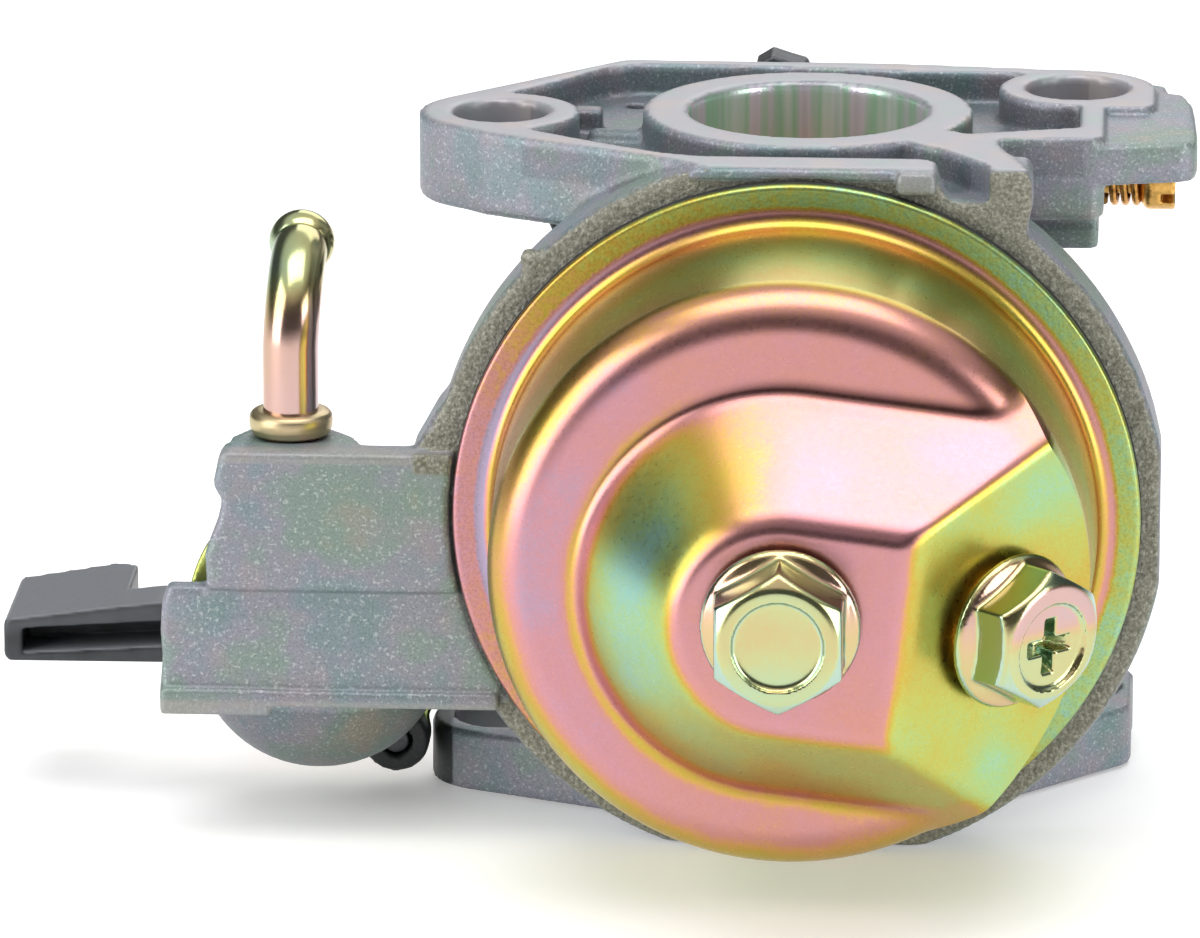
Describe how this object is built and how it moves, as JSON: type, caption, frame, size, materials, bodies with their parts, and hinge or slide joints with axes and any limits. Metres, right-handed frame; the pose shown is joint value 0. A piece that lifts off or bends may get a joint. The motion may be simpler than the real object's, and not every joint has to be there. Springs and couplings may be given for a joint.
{
  "type": "carburetor",
  "caption": "Small engine float-bowl carburetor with a pocketed cast body, yellow zinc bowl, bent fuel nipple, fuel valve lever, throttle and choke.",
  "frame": {"origin": "centre of the throttle bore on the machined engine flange face", "axes": "+Z along the bore towards the engine, -Y towards the float bowl (down in use), +X towards the pilot screw"},
  "size_m": [0.1181, 0.1038, 0.0685],
  "materials": {
    "cast_alloy": "chromated die casting, fine sparkle, machined faces lighter",
    "yellow_zinc": "iridescent yellow zinc plating on pressed steel",
    "brass": "satin brass",
    "spring_bronze": "bronze-coloured spring wire",
    "steel": "bright steel",
    "dark_steel": "dark phosphated steel",
    "black_plastic": "moulded black plastic",
    "rubber": "black rubber"
  },
  "bodies": {
    "casting": {"carburetor_body": "cast_alloy", "float_bowl": "yellow_zinc", "bowl_gasket": "rubber", "bowl_bolt": "yellow_zinc", "bowl_bolt_washer": "brass", "drain_bolt": "yellow_zinc", "drain_bolt_washer": "brass", "main_jet": "brass", "main_nozzle": "brass", "pilot_jet": "brass", "needle_seat": "brass", "float_pin": "steel", "fuel_nipple": "yellow_zinc", "fuel_valve_seal": "rubber", "fuel_valve_wave_washer": "steel", "fuel_valve_cap": "yellow_zinc", "fuel_valve_screw_1": "yellow_zinc", "fuel_valve_screw_2": "yellow_zinc", "idle_stop_spring": "steel", "pilot_screw_spring": "spring_bronze"},
    "throttle": {"throttle_shaft": "steel", "throttle_plate": "brass", "throttle_plate_screw_1": "brass", "throttle_plate_screw_2": "brass", "throttle_lever": "dark_steel", "throttle_lever_nut": "steel"},
    "choke": {"choke_shaft": "steel", "choke_plate": "brass", "choke_plate_screw_1": "brass", "choke_plate_screw_2": "brass", "choke_lever": "black_plastic", "choke_lever_cap": "steel"},
    "fuel_lever": {"fuel_valve_lever": "black_plastic"},
    "float": {"float": "black_plastic"},
    "needle": {"float_needle": "rubber"},
    "pilot_screw": {"pilot_screw": "brass"},
    "idle_screw": {"idle_stop_screw": "black_plastic"}
  },
  "joints": [
    {"name": "throttle_turn", "type": "hinge", "parent": "casting", "child": "throttle", "pos_m": [0, 0, -0.012], "axis": [0, -1, 0], "range_deg": [0, 75]},
    {"name": "choke_turn", "type": "hinge", "parent": "casting", "child": "choke", "pos_m": [0, 0, -0.0545], "axis": [0, -1, 0], "range_deg": [0, 75]},
    {"name": "fuel_valve_turn", "type": "hinge", "parent": "casting", "child": "fuel_lever", "pos_m": [-0.0476, 0, -0.0517], "axis": [0, -1, 0], "range_deg": [0, 90]},
    {"name": "float_swing", "type": "hinge", "parent": "casting", "child": "float", "pos_m": [-0.025, -0.0275, -0.0348], "axis": [0, 0, -1], "range_deg": [0, 6]},
    {"name": "needle_slide", "type": "slide", "parent": "casting", "child": "needle", "axis": [0, -1, 0], "range_m": [0, 0.0007]},
    {"name": "pilot_screw_turn", "type": "hinge", "parent": "casting", "child": "pilot_screw", "pos_m": [0.03, 0.003, -0.0074], "axis": [1, 0, 0], "range_deg": [-720, 720]},
    {"name": "idle_screw_turn", "type": "hinge", "parent": "casting", "child": "idle_screw", "pos_m": [-0.01, 0.0232, -0.024], "axis": [1, 0, 0], "range_deg": [-720, 720]}
  ],
  "couplings": [
    {"joint": "needle_slide", "follows": "float_swing", "m_per_rad": 0.0058}
  ]
}
